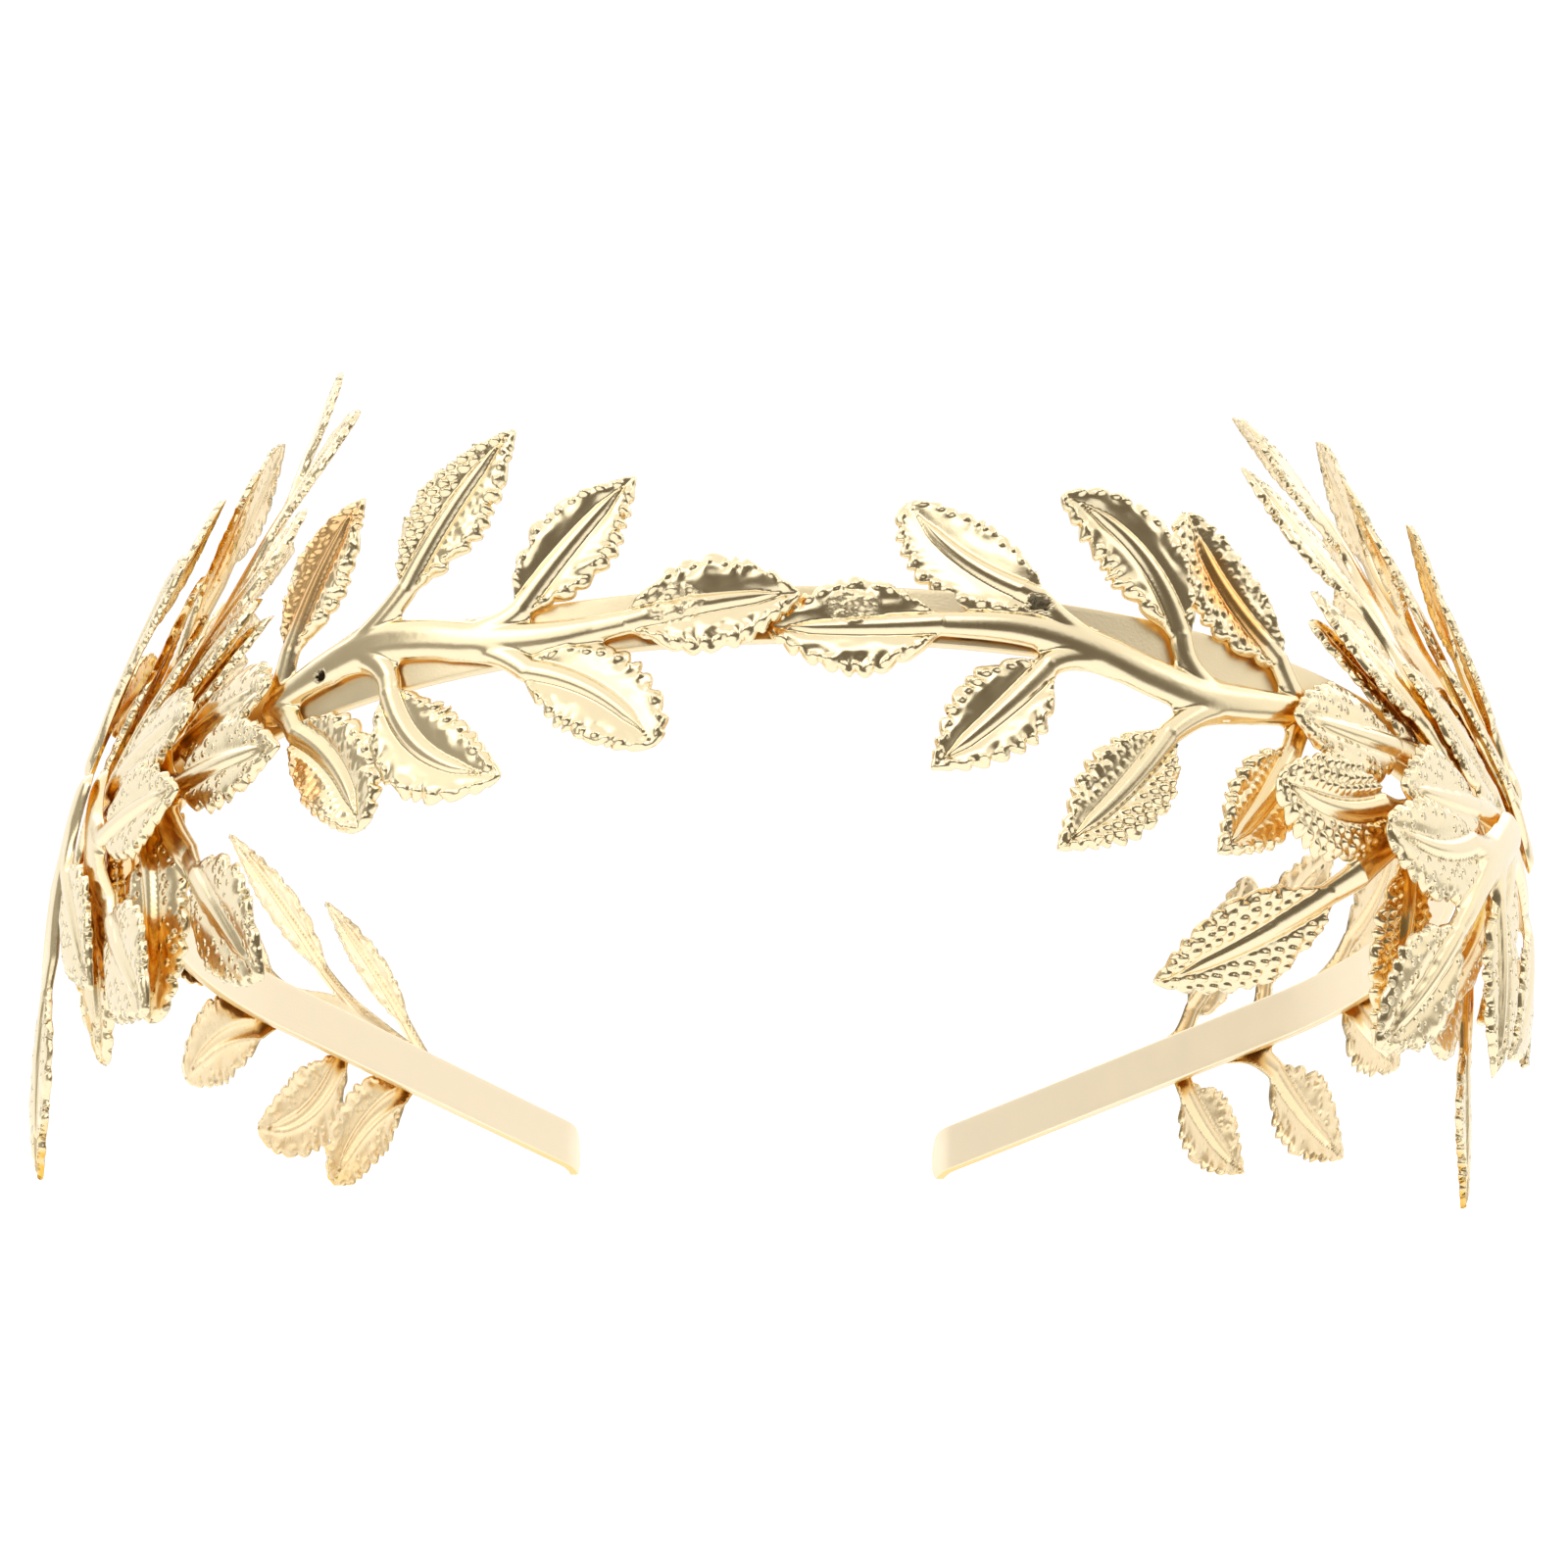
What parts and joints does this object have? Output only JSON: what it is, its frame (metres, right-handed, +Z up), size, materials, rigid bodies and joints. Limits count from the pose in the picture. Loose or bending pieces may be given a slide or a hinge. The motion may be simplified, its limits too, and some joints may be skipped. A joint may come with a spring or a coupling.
{
  "type": "leaf headband",
  "caption": "Rigid flat metal headband, open at the back, its outer face covered with layered sprigs of stamped, veined leaves.",
  "frame": {"origin": "on the table, at the bottom centre of the bounding box, with the headband lying as it settles by itself", "axes": "+Z up from the table, -Y towards the front of the head, +X towards the wearer's left"},
  "size_m": [0.1548, 0.1554, 0.0877],
  "materials": {
    "plated_strip": "satin pale gold plating",
    "plated_leaf": "bright pale gold plating"
  },
  "bodies": {
    "root": {"band": "plated_strip", "sprig_front_left": "plated_leaf", "sprig_front_right": "plated_leaf", "sprig_back_left": "plated_leaf", "sprig_back_right": "plated_leaf", "sprig_left_inner": "plated_leaf", "sprig_left_outer": "plated_leaf", "sprig_right_inner": "plated_leaf", "sprig_right_outer": "plated_leaf", "sprig_left_upright_inner": "plated_leaf", "sprig_left_upright_outer": "plated_leaf", "spray_left_upright": "plated_leaf", "sprig_right_upright_inner": "plated_leaf", "sprig_right_upright_outer": "plated_leaf", "spray_right_upright": "plated_leaf", "spray_left_drop_front": "plated_leaf", "spray_left_drop_middle": "plated_leaf", "spray_left_drop_rear": "plated_leaf", "spray_right_drop_front": "plated_leaf", "spray_right_drop_middle": "plated_leaf", "spray_right_drop_rear": "plated_leaf"}
  },
  "joints": []
}
